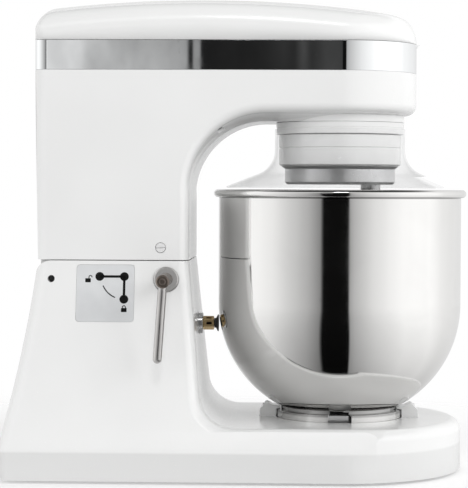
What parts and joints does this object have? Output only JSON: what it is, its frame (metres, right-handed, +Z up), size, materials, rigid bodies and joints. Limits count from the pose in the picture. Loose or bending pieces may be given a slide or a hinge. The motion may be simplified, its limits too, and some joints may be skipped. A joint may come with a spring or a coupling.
{
  "type": "stand mixer",
  "caption": "Table-top planetary mixer: tilting head with motor and belt drive, flat beater, clear splash guard, twist-lock bowl, clamp lever and flared base.",
  "frame": {"origin": "centre of the box around the mixer, on the surface its feet stand on", "axes": "+X towards the bowl end, -Y towards the side with the clamp lever, +Z up"},
  "size_m": [0.4121, 0.2389, 0.425],
  "materials": {
    "white_enamel": "gloss",
    "polished_steel": "polished",
    "band_steel": "polished",
    "drum_enamel": "gloss",
    "dark_casting": "satin",
    "cast_aluminium": "satin",
    "steel": "machined",
    "dark_steel": "blackened",
    "brass": "machined",
    "bronze": "sintered",
    "rubber": "matte",
    "black_plastic": "fine grain",
    "label_film": "satin",
    "panel_film": "satin",
    "green_plastic": "gloss",
    "red_plastic": "gloss",
    "clear_plastic": "clear, moulded",
    "circuit_board": "lacquered",
    "zinc_sheet": "zinc plated",
    "white_casting": "satin"
  },
  "bodies": {
    "base": {"base_casting": "white_enamel", "bottom_plate": "zinc_sheet", "rubber_feet": "rubber", "foot_screws": "steel", "bowl_claws": "white_casting", "claw_screws": "steel", "hinge_pin": "steel", "lock_bush": "steel", "label_plate": "label_film", "stop_flange": "steel", "stop_body": "brass", "stop_screw": "dark_steel", "stop_pad": "rubber", "control_panel": "panel_film", "speed_potentiometer": "black_plastic", "button_switches": "black_plastic", "control_board": "circuit_board", "board_posts": "steel", "interlock_switch": "black_plastic", "cord_gland": "black_plastic"},
    "head": {"upper_housing": "white_enamel", "top_cover": "white_enamel", "chrome_band": "band_steel", "side_screws": "steel", "arch_screw": "dark_steel", "hinge_bushes": "bronze", "quadrant_plate": "steel", "motor_can": "zinc_sheet", "motor_bracket": "zinc_sheet", "motor_screws": "steel", "drive_belt": "rubber", "gearbox_neck": "drum_enamel", "neck_screws": "steel", "ring_gear": "steel", "main_bearings": "steel", "splash_guard": "clear_plastic"},
    "motor": {"motor_rotor": "dark_steel", "small_pulley": "cast_aluminium"},
    "planetary": {"main_shaft": "steel", "large_pulley": "cast_aluminium", "pulley_nut": "steel", "planetary_drum": "drum_enamel", "lower_drum": "dark_casting", "agitator_bushes": "bronze"},
    "agitator": {"agitator_shaft": "steel", "planet_pinion": "steel", "tool_pin": "steel", "flat_beater": "cast_aluminium"},
    "clamp": {"clamp_shaft": "dark_steel", "clamp_lever": "steel", "clamp_washer": "steel", "clamp_nut": "steel"},
    "bowl": {"bowl": "polished_steel", "bowl_ring": "polished_steel"},
    "speed_knob": {"speed_knob": "black_plastic"},
    "start_button": {"start_button": "green_plastic"},
    "stop_button": {"stop_button": "red_plastic"}
  },
  "joints": [
    {"name": "head_tilt", "type": "hinge", "parent": "base", "child": "head", "pos_m": [-0.1636, 0, 0.1744], "axis": [0, -1, 0], "range_deg": [0, 40]},
    {"name": "clamp_turn", "type": "hinge", "parent": "base", "child": "clamp", "pos_m": [-0.062, -0.09, 0.1744], "axis": [0, 1, 0], "range_deg": [0, 90]},
    {"name": "planetary_spin", "type": "hinge", "parent": "head", "child": "planetary", "pos_m": [0.0914, 0, 0.29], "axis": [0, 0, 1], "continuous": true},
    {"name": "agitator_spin", "type": "hinge", "parent": "planetary", "child": "agitator", "pos_m": [0.1194, 0, 0.29], "axis": [0, 0, 1], "continuous": true},
    {"name": "motor_spin", "type": "hinge", "parent": "head", "child": "motor", "pos_m": [-0.1116, 0, 0.3], "axis": [0, 0, 1], "continuous": true},
    {"name": "bowl_twist", "type": "hinge", "parent": "base", "child": "bowl", "pos_m": [0.0914, 0, 0.05], "axis": [0, 0, 1], "range_deg": [0, 90]},
    {"name": "speed_turn", "type": "hinge", "parent": "base", "child": "speed_knob", "pos_m": [-0.113, 0.07886, 0.1474], "axis": [0, 0.9683, 0.2497], "range_deg": [-300, 0]},
    {"name": "start_press", "type": "slide", "parent": "base", "child": "start_button", "axis": [0, -0.9683, -0.2497], "range_m": [0, 0.002], "stiffness_N_per_m": 400},
    {"name": "stop_press", "type": "slide", "parent": "base", "child": "stop_button", "axis": [0, -0.9683, -0.2497], "range_m": [0, 0.002], "stiffness_N_per_m": 400}
  ],
  "couplings": [
    {"joint": "agitator_spin", "follows": "planetary_spin", "ratio": -3},
    {"joint": "motor_spin", "follows": "planetary_spin", "ratio": 4}
  ]
}
